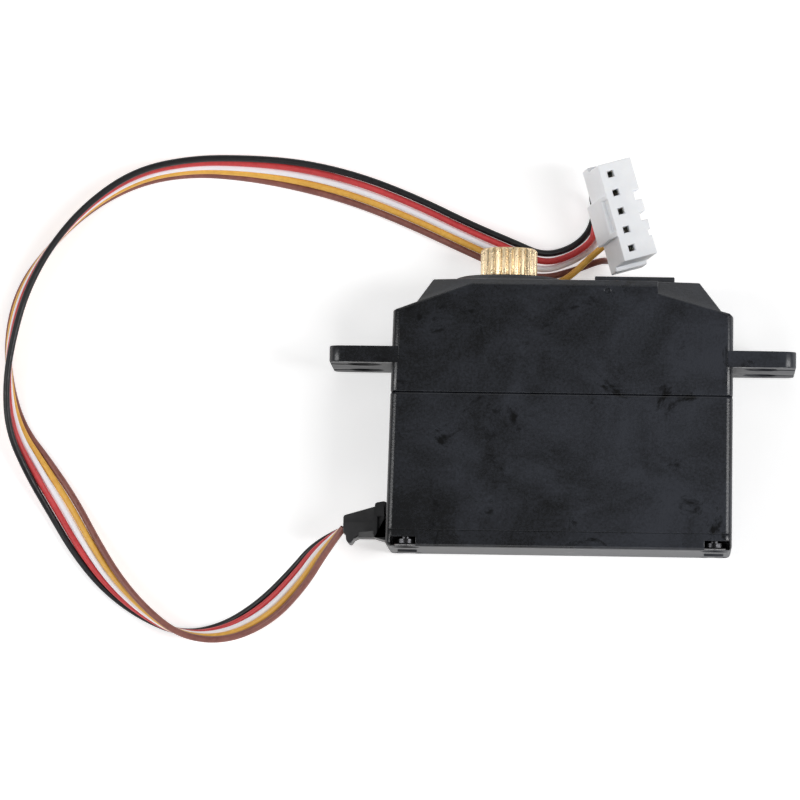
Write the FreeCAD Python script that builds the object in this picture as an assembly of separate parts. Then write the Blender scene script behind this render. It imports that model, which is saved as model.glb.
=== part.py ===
"""Hobby servo motor of the five-wire kind: a geared motor with a position potentiometer and no electronics.

It lies on its broad side. X runs along the case from tab to tab, Y is the direction of the output shaft
and Z goes up from the surface it lies on. Lengths are in millimetres. Heights along the shaft are first
given from the bottom plane of the case, as h, and row_y() turns h into Y.
"""
import FreeCAD, Part
import math
import os

os.makedirs("parts", exist_ok=True)

Vector = FreeCAD.Vector
ALONG_X = Vector(1, 0, 0)
ALONG_Y = Vector(0, 1, 0)
ALONG_Z = Vector(0, 0, 1)

# ---- case -------------------------------------------------------------------------------------------
CASE_THICK = 15.0
MID_Z = CASE_THICK / 2
LEFT_BOTTOM = -18.02
LEFT_SHOULDER = (-17.55, 24.43)
LEFT_KNEE = (-15.10, 25.38)
LEFT_TOP_X = -13.50
RIGHT_BOTTOM = 17.72
RIGHT_SHOULDER = (17.56, 24.40)
RIGHT_KNEE = (16.28, 24.80)
RIGHT_TOP_X = 14.03
CASE_TOP = 27.87
SEAM_H = 16.03
WALL = 1.10
CORNER_R = 0.70
CAVITY_CORNER_R = 0.60

TAB_TOP = 20.70
TAB_THICK = 1.70
TAB_END = 24.10
TAB_CORNER_R = 1.20
TAB_HOLE_X = 20.55
TAB_HOLE_SPACING_Z = 8.0
TAB_HOLE_R = 1.80
TAB_SLIT = 1.20

COVER_H = 1.75
COVER_FLOOR = 1.00
FOOT_H = 0.25
COVER_CORNER_R = 0.50
FLOOR_LOW = 15.40
FLOOR_TOP = 17.00
CEILING = 26.40
SPIGOT_GAP = 0.06

# ---- output and gear train --------------------------------------------------------------------------
OUTPUT_X = -5.80
LEFT_PIN_X = -0.40
RIGHT_PIN_X = 4.80
MOTOR_X = 10.20
SPLINE_TOP = 31.55
SPLINE_LOW = 28.60
SPLINE_TIP_R = 2.95
SPLINE_ROOT_R = 2.70
SPLINE_TEETH = 25
JOURNAL_R = 3.00
HORN_SCREW_R = 1.25
HORN_SCREW_DEPTH = 4.00
PIN_R = 0.50
GEAR_BORE_R = 0.53
POT_SHAFT_R = 1.00
STOP_HALF_ANGLE = 8.0
OUTPUT_TRAVEL = 90.0
PRESSURE_ANGLE = math.radians(25)
ADDENDUM = 0.80
DEDENDUM = 1.05
BACKLASH = 0.05

# each mesh: the module, the small gear's teeth, the large gear's teeth
MESH_1 = (0.24, 10, 35)
MESH_2 = (0.26, 10, 30)
MESH_3 = (0.26, 10, 30)
MESH_4 = (0.26, 10, 30)
MESH_5 = (0.30, 10, 26)
# the gear layers, as low and high h
LAYER_1 = (17.40, 18.90)
LAYER_2 = (19.10, 20.60)
LAYER_3 = (20.80, 22.30)
LAYER_4 = (22.50, 24.00)
LAYER_5 = (24.20, 26.20)

MID_Y_H = (SPLINE_TOP - FOOT_H) / 2


def row_y(h):
    """The row's Y of a height above the case's bottom plane: Y is 0 midway between feet and spline top."""
    return h - MID_Y_H


# ---- helpers ----------------------------------------------------------------------------------------
def box(x, h, z):
    """A box from three (low, high) pairs."""
    return Part.makeBox(
        x[1] - x[0], h[1] - h[0], z[1] - z[0], Vector(x[0], row_y(h[0]), z[0])
    )


def post(x, h, radius, z=MID_Z):
    """A cylinder along the shaft direction, between two heights."""
    return Part.makeCylinder(radius, h[1] - h[0], Vector(x, row_y(h[0]), z), ALONG_Y)


def ring(x, h, outer, inner, z=MID_Z):
    return post(x, h, outer, z).cut(post(x, h, inner, z))


def prism(points, z):
    """A solid from an outline of (x, h) points, between two levels of Z."""
    corners = [Vector(x, row_y(h), z[0]) for x, h in points]
    face = Part.Face(Part.makePolygon(corners + corners[:1]))
    return face.extrude(Vector(0, 0, z[1] - z[0]))


def plan_prism(points, h):
    """A solid from an outline of (x, z) points, between two heights."""
    corners = [Vector(x, row_y(h[0]), z) for x, z in points]
    face = Part.Face(Part.makePolygon(corners + corners[:1]))
    return face.extrude(Vector(0, h[1] - h[0], 0))


def fuse(first, *others):
    joined = first
    for other in others:
        joined = joined.fuse(other)
    return joined.removeSplitter()


def round_edges(shape, radius, wanted):
    edges = [e for e in shape.Edges if wanted(e)]
    return shape.makeFillet(radius, edges)


def runs_along(edge, axis):
    if len(edge.Vertexes) != 2:
        return False
    line = edge.Vertexes[1].Point - edge.Vertexes[0].Point
    return line.Length > 0.5 and abs(line.normalize().dot(axis)) > 0.99


def half_space(a, b, c, beyond):
    """A large block on the side of the plane a, b, c where the point beyond lies."""
    corners = [Vector(p[0], row_y(p[1]), p[2]) for p in (a, b, c, beyond)]
    normal = (corners[1] - corners[0]).cross(corners[2] - corners[0]).normalize()
    if normal.dot(corners[3] - corners[0]) < 0:
        normal = normal * -1
    size = 60.0
    block = Part.makeBox(size, size, size, Vector(-size / 2, -size / 2, 0))
    block.Placement = FreeCAD.Placement(
        corners[0], FreeCAD.Rotation(ALONG_Z, normal)
    )
    return block


def mirrored_z(shape):
    """The same shape on the other broad side."""
    return shape.mirror(Vector(0, 0, MID_Z), ALONG_Z)


def both_sides(shape):
    return [shape, mirrored_z(shape)]


def save(name, solids):
    """One STEP file per node, with its solids side by side."""
    solids = solids if isinstance(solids, list) else [solids]
    kept = []
    for shape in solids:
        kept += shape.Solids
    for solid in kept:
        assert solid.isValid() and solid.Volume > 0, name
    out = kept[0] if len(kept) == 1 else Part.makeCompound(kept)
    out.exportStep("parts/" + name + ".step")
    print(f"{name:22s} solids {len(kept)}  volume {sum(s.Volume for s in kept):9.3f} mm3")


# ---- gears ------------------------------------------------------------------------------------------
def involute_half_angle(radius, pitch_r, teeth, thinning):
    """Half the angle that a tooth fills at a radius."""
    base_r = pitch_r * math.cos(PRESSURE_ANGLE)
    at = math.acos(min(1.0, base_r / max(radius, base_r)))
    roll = (math.tan(PRESSURE_ANGLE) - PRESSURE_ANGLE) - (math.tan(at) - at)
    return math.pi / (2 * teeth) - thinning / (2 * pitch_r) + roll


def gear(x, h, module, teeth, pointing):
    """A spur gear of straight facets. pointing is the angle of one tooth, from +X towards +Z."""
    pitch_r = module * teeth / 2
    tip_r = pitch_r + ADDENDUM * module
    root_r = pitch_r - DEDENDUM * module
    base_r = pitch_r * math.cos(PRESSURE_ANGLE)
    start_r = max(base_r, root_r + 0.02)
    steps = 4
    radii = [start_r + (tip_r - start_r) * i / steps for i in range(steps + 1)]
    points = []
    for tooth in range(teeth):
        middle = pointing + 2 * math.pi * tooth / teeth
        flank = [
            (r, involute_half_angle(r, pitch_r, teeth, BACKLASH)) for r in radii
        ]
        root_angle = flank[0][1]
        side = [(root_r, root_angle)] + flank
        outline = [(r, -a) for r, a in side] + [(r, a) for r, a in reversed(side)]
        for r, a in outline:
            points.append(
                (x + r * math.cos(middle + a), MID_Z + r * math.sin(middle + a))
            )
    return plan_prism(points, h)


def gap_at(angle, teeth):
    """Where a tooth points if the gap between two teeth lies at angle."""
    return angle + math.pi / teeth


def compound_gear(x, wheel, wheel_h, wheel_side, small, small_h, small_side):
    """A wheel with a smaller gear above it on one hub, bored for its pin.

    A side is the angle at which its mate lies; wheels have a gap there and small gears a tooth.
    """
    lower = gear(x, wheel_h, wheel[0], wheel[2], gap_at(wheel_side, wheel[2]))
    upper = gear(x, (wheel_h[1], small_h[1]), small[0], small[1], small_side)
    bore = post(x, (wheel_h[0] - 1, small_h[1] + 1), GEAR_BORE_R)
    return fuse(lower, upper).cut(bore)


TOWARDS_PLUS_X = 0.0
TOWARDS_MINUS_X = math.pi


def make_gears():
    save(
        "first_gear",
        compound_gear(
            RIGHT_PIN_X, MESH_1, LAYER_1, TOWARDS_PLUS_X,
            MESH_2, LAYER_2, TOWARDS_MINUS_X,
        ),
    )
    save(
        "second_gear",
        compound_gear(
            LEFT_PIN_X, MESH_2, LAYER_2, TOWARDS_PLUS_X,
            MESH_3, LAYER_3, TOWARDS_PLUS_X,
        ),
    )
    save(
        "third_gear",
        compound_gear(
            RIGHT_PIN_X, MESH_3, LAYER_3, TOWARDS_MINUS_X,
            MESH_4, LAYER_4, TOWARDS_MINUS_X,
        ),
    )
    save(
        "fourth_gear",
        compound_gear(
            LEFT_PIN_X, MESH_4, LAYER_4, TOWARDS_PLUS_X,
            MESH_5, LAYER_5, TOWARDS_MINUS_X,
        ),
    )


PINION_LOW = 17.20


def motor_pinion():
    body = gear(
        MOTOR_X, (PINION_LOW, LAYER_1[1]), MESH_1[0], MESH_1[1], TOWARDS_MINUS_X
    )
    return body.cut(post(MOTOR_X, (PINION_LOW - 1, LAYER_1[1] + 1), PIN_R))


PINS_LOW = 15.80
PINS_TOP = 27.00
PIN_BOSS_R = 0.72


def gear_pin(x):
    pin = post(x, (PINS_LOW, PINS_TOP), PIN_R)
    return pin.makeChamfer(0.1, [e for e in pin.Edges if e.Curve.TypeId == "Part::GeomCircle"])


# ---- output gear, its spline and its stop -----------------------------------------------------------
STOP_IN_R = 3.56
STOP_OUT_R = 4.05
STOP_TOP = 26.85
KEY_TOP = 26.20
KEY_FLAT = 0.60
FIT_GAP = 0.02


def sector(x, h, outer, inner, middle, half_width):
    """Part of a ring, centred on an angle from +X towards +Z, with half_width in degrees."""
    sweep = 2 * half_width
    whole = Part.makeCylinder(
        outer, h[1] - h[0], Vector(0, 0, 0), ALONG_Z, sweep
    ).cut(Part.makeCylinder(inner, h[1] - h[0], Vector(0, 0, 0), ALONG_Z, sweep))
    whole.rotate(Vector(0, 0, 0), ALONG_Z, middle - half_width)
    whole.rotate(Vector(0, 0, 0), ALONG_X, 90)
    whole.translate(Vector(x, row_y(h[1]), MID_Z))
    return whole


def spline():
    points = []
    for tooth in range(SPLINE_TEETH):
        middle = 2 * math.pi * tooth / SPLINE_TEETH
        pitch = math.pi / SPLINE_TEETH
        for radius, share in (
            (SPLINE_ROOT_R, -0.78),
            (SPLINE_TIP_R, -0.26),
            (SPLINE_TIP_R, 0.26),
            (SPLINE_ROOT_R, 0.78),
        ):
            angle = middle + share * pitch
            points.append(
                (OUTPUT_X + radius * math.cos(angle), MID_Z + radius * math.sin(angle))
            )
    toothed = plan_prism(points, (SPLINE_LOW, SPLINE_TOP))
    bevel = 0.30
    cone = Part.makeCone(
        SPLINE_TIP_R + 0.1,
        SPLINE_TIP_R - bevel,
        bevel + 0.1,
        Vector(OUTPUT_X, row_y(SPLINE_TOP - bevel - 0.1), MID_Z),
        ALONG_Y,
    )
    below = post(OUTPUT_X, (SPLINE_LOW - 1, SPLINE_TOP - bevel - 0.1), SPLINE_TIP_R + 1)
    return toothed.common(cone.fuse(below))


def d_shaft(h, radius, flat):
    """A round shaft with one flat, of the stated depth, on its +Z side."""
    shaft = post(OUTPUT_X, h, radius)
    cut_z = MID_Z + radius - flat
    return shaft.cut(
        box((OUTPUT_X - 3, OUTPUT_X + 3), (h[0] - 1, h[1] + 1), (cut_z, cut_z + 3))
    )


def output_gear():
    module, _, teeth = MESH_5
    wheel = gear(OUTPUT_X, LAYER_5, module, teeth, gap_at(TOWARDS_PLUS_X, teeth))
    journal = post(OUTPUT_X, (LAYER_5[0], SPLINE_LOW), JOURNAL_R)
    neck = post(OUTPUT_X, (SPLINE_LOW - 0.1, SPLINE_LOW + 0.35), SPLINE_ROOT_R)
    stop = sector(
        OUTPUT_X, (LAYER_5[1] - 0.3, STOP_TOP), STOP_OUT_R - 0.03, STOP_IN_R + 0.03,
        180.0, STOP_HALF_ANGLE,
    )
    stop = stop.common(post(OUTPUT_X, (LAYER_5[0], STOP_TOP), STOP_OUT_R))
    body = fuse(wheel, journal, spline(), neck, stop)
    screw_hole = post(
        OUTPUT_X, (SPLINE_TOP - HORN_SCREW_DEPTH, SPLINE_TOP + 1), HORN_SCREW_R
    )
    key = d_shaft((LAYER_5[0] - 1, KEY_TOP), POT_SHAFT_R + FIT_GAP, KEY_FLAT)
    return body.cut(screw_hole).cut(key)


BUSH_OUT_R = 3.45
BUSH_TOP = 28.42


def output_bearing():
    return ring(OUTPUT_X, (CEILING, BUSH_TOP), BUSH_OUT_R, JOURNAL_R + 0.03)


# ---- case shells ------------------------------------------------------------------------------------
SCREW_X = 15.90
SCREW_Z = 1.75
SCREW_R = 0.75
SCREW_HEAD_R = 1.32
SCREW_HEAD = (0.20, 0.80)
SCREW_HEAD_ROUND = 0.22
SCREW_SLOT = (1.50, 0.32)
SCREW_SLOT_DEPTH = 0.30
# the opening beside each screw head in the lid's broad sides
WINDOW_X = (14.90, 17.50)
WINDOW_H = (0.12, 1.05)
WINDOW_Z = (12.35, 16.00)
FOOT_X = 15.90
FOOT_HALF = 1.00
SCREW_TOP = 22.00
COLUMN_R = 1.45


def corner_posts(h, radius):
    """Four cylinders on the case screws' axes."""
    return [
        post(side * SCREW_X, h, radius, z)
        for side in (-1, 1)
        for z in (SCREW_Z, CASE_THICK - SCREW_Z)
    ]


def side_x(h, inset=0.0):
    """The case's left and right faces at a height: its mould draft widens it towards the bottom."""
    left = LEFT_BOTTOM + (LEFT_SHOULDER[0] - LEFT_BOTTOM) * h / LEFT_SHOULDER[1]
    right = RIGHT_BOTTOM + (RIGHT_SHOULDER[0] - RIGHT_BOTTOM) * h / RIGHT_SHOULDER[1]
    return left + inset, right - inset


def block(low, high, inset):
    """The case's drafted block between two heights, inset by a wall."""
    left_low, right_low = side_x(low, inset)
    left_high, right_high = side_x(high, inset)
    points = [(left_low, low), (right_low, low), (right_high, high), (left_high, high)]
    solid = prism(points, (inset, CASE_THICK - inset))
    radius = CORNER_R if inset == 0 else CAVITY_CORNER_R
    return round_edges(solid, radius, lambda e: runs_along(e, ALONG_Y))


def upper_outside():
    left_seam, right_seam = side_x(SEAM_H)
    shoulder = (RIGHT_SHOULDER[0] - 0.38, RIGHT_SHOULDER[1] + 0.16)
    outline = [
        (left_seam, SEAM_H),
        (right_seam, SEAM_H),
        (RIGHT_SHOULDER[0], RIGHT_SHOULDER[1] - 0.20),
        shoulder,
        RIGHT_KNEE,
        (RIGHT_TOP_X, CASE_TOP),
        (LEFT_TOP_X, CASE_TOP),
        LEFT_KNEE,
        LEFT_SHOULDER,
    ]
    solid = prism(outline, (0, CASE_THICK))
    return round_edges(
        solid,
        CORNER_R,
        lambda e: runs_along(e, ALONG_Y) and abs(e.CenterOfMass.x) > 16.9,
    )


def upper_facets():
    """The blocks that bevel the top's four corners and its two long edges."""
    front = CASE_THICK
    left = half_space(
        (-17.33, 24.33, front), (-9.56, 27.22, front), (LEFT_TOP_X, CASE_TOP, front - 2.4),
        (-14, 30, 20),
    )
    right = half_space(
        (16.24, 24.60, front), (9.90, 26.38, front), (RIGHT_TOP_X, CASE_TOP, front - 2.6),
        (15, 30, 20),
    ).common(box((9.75, 30), (20, 40), (0, 30)))
    edge = half_space(
        (-9.0, 27.22, front), (9.0, 27.22, front), (0, CASE_TOP, front - 0.60), (0, 30, 20)
    )
    cuts = []
    for shape in (left, right, edge):
        cuts += both_sides(shape)
    return cuts


def tab(side):
    """One mounting tab with its two keyhole slots, on the side of X given by +1 or -1."""
    low = TAB_TOP - TAB_THICK
    inner = RIGHT_SHOULDER[0] - 0.6
    x = (inner, TAB_END) if side > 0 else (-TAB_END, -inner)
    plate = box(x, (low, TAB_TOP), (0, CASE_THICK))
    plate = round_edges(
        plate,
        TAB_CORNER_R,
        lambda e: runs_along(e, ALONG_Y) and abs(e.CenterOfMass.x) > TAB_END - 0.1,
    )
    for z in (MID_Z - TAB_HOLE_SPACING_Z / 2, MID_Z + TAB_HOLE_SPACING_Z / 2):
        hole = post(side * TAB_HOLE_X, (low - 1, TAB_TOP + 1), TAB_HOLE_R, z)
        slit_x = (TAB_HOLE_X, TAB_END + 1) if side > 0 else (-TAB_END - 1, -TAB_HOLE_X)
        slit = box(slit_x, (low - 1, TAB_TOP + 1), (z - TAB_SLIT / 2, z + TAB_SLIT / 2))
        plate = plate.cut(hole).cut(slit)
    return plate


GATE_X = 4.55
GATE_H = 26.70
GATE_R = 0.28
GATE_DEPTH = 0.20
PAD_X = (3.20, 11.45)
PAD_TOP = 28.40
PAD_Z = (2.20, 12.80)
BOSS_BASE_R = 5.83
BOSS_TOP_R = 5.35
BOSS_H = 28.40
BOSS_RIM_TOP = 28.50
BOSS_RIM_R = 4.90


def upper_cavity():
    lower = block(SEAM_H - 1, 24.2, WALL)
    upper = prism(
        [(-15.4, 24.1), (15.2, 24.1), (13.2, CEILING), (-12.6, CEILING)], (2.8, 12.2)
    )
    return lower.fuse(upper)


def upper_case():
    solid = upper_outside()
    for cut in upper_facets():
        solid = solid.cut(cut)
    boss = Part.makeCone(
        BOSS_BASE_R, BOSS_TOP_R, BOSS_H - CASE_TOP,
        Vector(OUTPUT_X, row_y(CASE_TOP), MID_Z), ALONG_Y,
    )
    boss = boss.fuse(post(OUTPUT_X, (CASE_TOP - 0.5, BOSS_RIM_TOP), BOSS_RIM_R))
    pad = box(PAD_X, (CASE_TOP - 0.5, PAD_TOP), PAD_Z)
    solid = fuse(solid, boss, pad, tab(-1), tab(1))
    columns = [c.common(upper_outside()) for c in corner_posts((SEAM_H, 24.2), COLUMN_R)]
    cavity = upper_cavity()
    for column in columns:
        cavity = cavity.cut(column)
    cavity = cavity.cut(post(RIGHT_PIN_X, (LAYER_4[1] + 0.15, CEILING), 1.2))
    solid = solid.cut(cavity)
    solid = solid.cut(post(OUTPUT_X, (CEILING - 1, BUSH_TOP), BUSH_OUT_R + 0.01))
    solid = solid.cut(post(OUTPUT_X, (BUSH_TOP - 0.5, BOSS_RIM_TOP + 1), JOURNAL_R + 0.08))
    groove = sector(
        OUTPUT_X, (CEILING - 0.5, STOP_TOP + 0.15), STOP_OUT_R + 0.05, STOP_IN_R - 0.05,
        180.0, OUTPUT_TRAVEL + STOP_HALF_ANGLE + 0.6,
    )
    solid = solid.cut(groove)
    for x in (LEFT_PIN_X, RIGHT_PIN_X):
        solid = solid.cut(post(x, (CEILING - 3, PINS_TOP + 0.05), PIN_R + 0.005))
    for hole in corner_posts((SEAM_H - 1, SCREW_TOP + 0.5), SCREW_R + 0.01):
        solid = solid.cut(hole)
    gate_mark = Part.makeCylinder(
        GATE_R, 1, Vector(GATE_X, row_y(GATE_H), CASE_THICK - GATE_DEPTH), ALONG_Z
    )
    return solid.cut(gate_mark)


RELIEF_SLOT_H = (1.10, 4.10)
RELIEF_SLOT_X = (-19.00, -15.40)
RELIEF_SLOT_Z = (5.30, 9.70)
MOTOR_R = 6.00
MOTOR_BOSS_R = 3.00
POT_NECK_R = 2.00


def lower_case():
    shell = block(COVER_H, SEAM_H, 0)
    spigot = block(SEAM_H - 0.1, FLOOR_TOP, WALL + SPIGOT_GAP)
    for column in corner_posts((SEAM_H, FLOOR_TOP + 1), COLUMN_R + SPIGOT_GAP):
        spigot = spigot.cut(column)
    solid = shell.fuse(spigot)
    cavity = block(COVER_H - 1, FLOOR_LOW, WALL)
    for column in corner_posts((COVER_H - 2, FLOOR_LOW + 1), COLUMN_R):
        cavity = cavity.cut(column)
    solid = solid.cut(cavity)
    solid = solid.fuse(post(LEFT_PIN_X, (FLOOR_TOP - 0.5, LAYER_2[0] - 0.1), PIN_BOSS_R))
    solid = solid.fuse(post(RIGHT_PIN_X, (FLOOR_TOP - 0.5, LAYER_1[0] - 0.1), PIN_BOSS_R + 0.4))
    solid = solid.removeSplitter()
    for x in (LEFT_PIN_X, RIGHT_PIN_X):
        solid = solid.cut(post(x, (PINS_LOW, 30), PIN_R + 0.005))
    solid = solid.cut(post(MOTOR_X, (FLOOR_LOW - 1, FLOOR_TOP + 1), MOTOR_BOSS_R + 0.02))
    solid = solid.cut(post(OUTPUT_X, (FLOOR_LOW - 1, FLOOR_TOP + 1), POT_NECK_R + 0.02))
    for hole in corner_posts((0, SEAM_H + 2), SCREW_R + 0.05):
        solid = solid.cut(hole)
    slot = box(RELIEF_SLOT_X, (0, RELIEF_SLOT_H[1]), RELIEF_SLOT_Z)
    return solid.cut(slot)


def bottom_cover():
    """The bottom lid, with a window beside each screw head, a rim inside the shell and two feet."""
    solid = block(0, COVER_H, 0)
    solid = round_edges(
        solid, COVER_CORNER_R, lambda e: runs_along(e, ALONG_Z) and e.CenterOfMass.y < row_y(0.1)
    )
    cavity = block(COVER_FLOOR, COVER_H + 1, WALL + 0.6)
    for column in corner_posts((0, COVER_H + 1), COLUMN_R + 0.5):
        cavity = cavity.cut(column)
    solid = solid.cut(cavity)
    for mirror in (1, -1):
        x = WINDOW_X if mirror > 0 else (-WINDOW_X[1], -WINDOW_X[0])
        for cut in both_sides(box(x, WINDOW_H, WINDOW_Z)):
            solid = solid.cut(cut)
        foot = box(
            (mirror * FOOT_X - FOOT_HALF, mirror * FOOT_X + FOOT_HALF),
            (-FOOT_H, 0.2),
            (MID_Z - FOOT_HALF, MID_Z + FOOT_HALF),
        )
        solid = solid.fuse(foot)
    for hole in corner_posts((-1, SCREW_HEAD[1]), SCREW_HEAD_R + 0.1):
        solid = solid.cut(hole)
    for hole in corner_posts((-1, COVER_H + 1), SCREW_R + 0.05):
        solid = solid.cut(hole)
    slot = box(RELIEF_SLOT_X, (RELIEF_SLOT_H[0], COVER_H + 1), RELIEF_SLOT_Z)
    return solid.cut(slot).removeSplitter()


def case_screws():
    screws = []
    for x in (-SCREW_X, SCREW_X):
        for z in (SCREW_Z, CASE_THICK - SCREW_Z):
            head = post(x, SCREW_HEAD, SCREW_HEAD_R, z)
            head = round_edges(
                head, SCREW_HEAD_ROUND, lambda e: e.CenterOfMass.y < row_y(SCREW_HEAD[0] + 0.1)
                and e.Curve.TypeId == "Part::GeomCircle",
            )
            shank = post(x, (SCREW_HEAD[1] - 0.1, SCREW_TOP), SCREW_R, z)
            screw = head.fuse(shank)
            for wide, high in (SCREW_SLOT, SCREW_SLOT[::-1]):
                screw = screw.cut(
                    box(
                        (x - wide / 2, x + wide / 2),
                        (SCREW_HEAD[0] - 1, SCREW_HEAD[0] + SCREW_SLOT_DEPTH),
                        (z - high / 2, z + high / 2),
                    )
                )
            screws.append(screw.removeSplitter())
    return screws


# ---- strain relief ----------------------------------------------------------------------------------
RELIEF_END_X = -22.55
RELIEF_Z = (4.90, 10.10)
RELIEF_NECK_X = (-18.10, -16.50)
INNER_FLANGE_X = (-16.60, -15.80)
INNER_FLANGE_H = (1.80, 4.30)
SLEEVE_STEP_X = (-23.00, -19.40)
SLEEVE_STEP_H = (2.72, 6.00)
FLANGE_POCKET_X = (-18.95, -18.25)
FLANGE_POCKET_H = (1.30, 3.30)
LEAD_H = 2.15
WIRE_R = 0.35
WIRE_PITCH = 0.75
WIRES = ("black", "red", "white", "yellow", "brown")


def strain_relief():
    """The rubber grommet: an outer flange, a drooping sleeve with a hook under it and an inner flange."""
    sleeve = prism(
        [
            (-19.15, 4.42), (-22.45, 3.44), (RELIEF_END_X, 3.28), (RELIEF_END_X, 1.62),
            (-22.28, 1.42), (-22.22, 0.80), (-21.97, 0.52), (-21.71, 0.52), (-21.42, 0.96),
            (-21.05, 1.12), (-19.15, 1.18),
        ],
        (RELIEF_Z[0] + 0.15, RELIEF_Z[1] - 0.15),
    )
    outer_flange = prism(
        [
            (-19.28, 4.62), (-19.15, 4.78), (-18.35, 4.92), (-18.04, 4.82),
            (-18.04, 0.88), (-18.35, 0.88), (-18.75, 1.00), (-19.28, 1.15),
        ],
        RELIEF_Z,
    )
    neck = box(
        RELIEF_NECK_X,
        (RELIEF_SLOT_H[0] + 0.05, RELIEF_SLOT_H[1] - 0.05),
        (RELIEF_SLOT_Z[0] + 0.05, RELIEF_SLOT_Z[1] - 0.05),
    )
    inner_flange = box(INNER_FLANGE_X, INNER_FLANGE_H, RELIEF_Z)
    body = fuse(sleeve, outer_flange, neck, inner_flange)
    front = RELIEF_Z[1] - 0.15
    low_edge = half_space(
        (-21.0, 1.66, front), (-19.0, 1.92, front), (-20.0, 1.10, front - 1.1), (-20, -3, 14)
    ).common(box((-20.95, -19.35), (-1, 3), (MID_Z, 12)))
    step = box(SLEEVE_STEP_X, SLEEVE_STEP_H, (front - 0.18, front + 1))
    pocket = box(FLANGE_POCKET_X, FLANGE_POCKET_H, (RELIEF_Z[1] - 0.45, RELIEF_Z[1] + 1))
    for shape in (low_edge, step, pocket):
        for cut in both_sides(shape):
            body = body.cut(cut)
    channel = box(
        (-23, -15),
        (LEAD_H - WIRE_R - 0.05, LEAD_H + WIRE_R + 0.05),
        (MID_Z - 2 * WIRE_PITCH - WIRE_R - 0.05, MID_Z + 2 * WIRE_PITCH + WIRE_R + 0.05),
    )
    return body.cut(channel)


# ---- tubes along a route ----------------------------------------------------------------------------
def tube(name, points, radius):
    """A round tube of straight runs joined by tangent arcs through a list of (x, y, z) points."""
    corners = [Vector(*p) for p in points]
    lengths = [(b - a).Length for a, b in zip(corners, corners[1:])]
    edges, at, tightest = [], corners[0], 1e9
    for i in range(1, len(corners) - 1):
        back = (corners[i - 1] - corners[i]).normalize()
        ahead = (corners[i + 1] - corners[i]).normalize()
        turn = math.pi - back.getAngle(ahead)
        reach = 0.45 * min(lengths[i - 1], lengths[i])
        bend = reach / math.tan(turn / 2)
        tightest = min(tightest, bend)
        start = corners[i] + back * reach
        end = corners[i] + ahead * reach
        inward = (back + ahead).normalize()
        middle = corners[i] + inward * (bend / math.cos(turn / 2) - bend)
        edges.append(Part.LineSegment(at, start).toShape())
        edges.append(Part.Arc(start, middle, end).toShape())
        at = end
    edges.append(Part.LineSegment(at, corners[-1]).toShape())
    path = Part.Wire(edges)
    profile = Part.Wire(
        [Part.Circle(corners[0], corners[1] - corners[0], radius).toShape()]
    )
    solid = path.makePipeShell([profile], True, True)
    solid = solid.Solids[0] if solid.Solids else Part.Solid(solid)
    expected = math.pi * radius**2 * path.Length
    print(
        f"  {name}: length {path.Length:.2f} mm, tightest bend {tightest:.2f} mm, "
        f"volume ratio {solid.Volume / expected:.4f}"
    )
    return solid


# ---- loose ribbon cable -----------------------------------------------------------------------------
# The middle of the ribbon, from the strain relief to where the wires part: x, h, z in mm, and the angle
# of the line from the black to the brown wire, turned from the outer side of the loop (0) up (90).
RIBBON_ROUTE = [
    (-22.55, 2.15, 7.50, 90),
    (-24.90, 0.30, 6.95, 58),
    (-27.40, -3.10, 5.20, 42),
    (-30.80, -6.55, 3.40, 36),
    (-35.10, -8.80, 2.30, 54),
    (-39.60, -9.00, 2.02, 84),
    (-43.60, -6.75, 2.00, 110),
    (-47.10, -3.60, 1.75, 136),
    (-49.90, 0.20, 1.30, 160),
    (-52.30, 4.30, 0.90, 178),
    (-54.90, 8.30, 1.35, 208),
    (-57.40, 12.40, 1.90, 240),
    (-58.30, 17.20, 2.05, 265),
    (-58.15, 22.20, 2.05, 288),
    (-56.85, 27.30, 2.05, 292),
    (-53.90, 32.00, 2.05, 276),
    (-49.90, 36.20, 2.05, 264),
    (-45.00, 39.20, 2.05, 250),
    (-39.40, 40.35, 2.00, 244),
    (-33.60, 40.25, 1.80, 232),
    (-27.80, 39.60, 1.45, 212),
    (-22.00, 38.20, 1.20, 202),
    (-16.20, 36.00, 1.20, 200),
    (-10.40, 33.30, 1.35, 206),
    (-5.80, 31.35, 1.40, 198),
]
# each wire's own points between the ribbon's end and the turn below the connector
WIRE_ENDS = {
    "black": [(-2.33, 31.47, 1.20), (0.43, 32.20, 0.80), (2.40, 33.87, 0.56), (3.05, 36.20, 0.56)],
    "red": [(-2.33, 30.62, 1.35), (0.36, 31.31, 1.60), (2.82, 32.95, 1.85), (3.08, 34.70, 1.95)],
    "white": [(-2.52, 29.75, 1.00), (0.85, 30.93, 0.70), (3.26, 32.71, 0.65)],
    "yellow": [(-2.40, 28.20, 2.00), (0.05, 28.72, 2.20), (2.98, 31.60, 2.25)],
    "brown": [(-2.45, 29.03, 0.60), (1.12, 30.05, 0.56), (3.75, 31.15, 0.56)],
}
TURN_BELOW = {"black": 3.40, "red": 2.30, "white": 3.50, "yellow": 2.00, "brown": 2.90}

# ---- connector --------------------------------------------------------------------------------------
PLUG_LEAN = math.radians(16.6)
PLUG_TILT = math.radians(12.3)
PLUG_MOUTH = (5.84, 35.32, 12.0)
PLUG_PITCH = 2.00
PLUG_LENGTH = 10.40
COLLAR_LENGTH = 11.30
PLUG_SIDES = (-1.15, 2.50)
COLLAR_SIDES = (-1.15, 2.30)
PLUG_HEIGHT = 7.40
COLLAR_HEIGHT = 2.60
CONTACT_REAR = 2.60
# half the width of each pin's hole, of the bay behind it, of the contact in the bay and of its bore
PIN_HOLE_HALF = 0.34
CONTACT_BAY_HALF = 0.62
CONTACT_HALF = 0.50
CONTACT_BORE_HALF = 0.32
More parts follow.
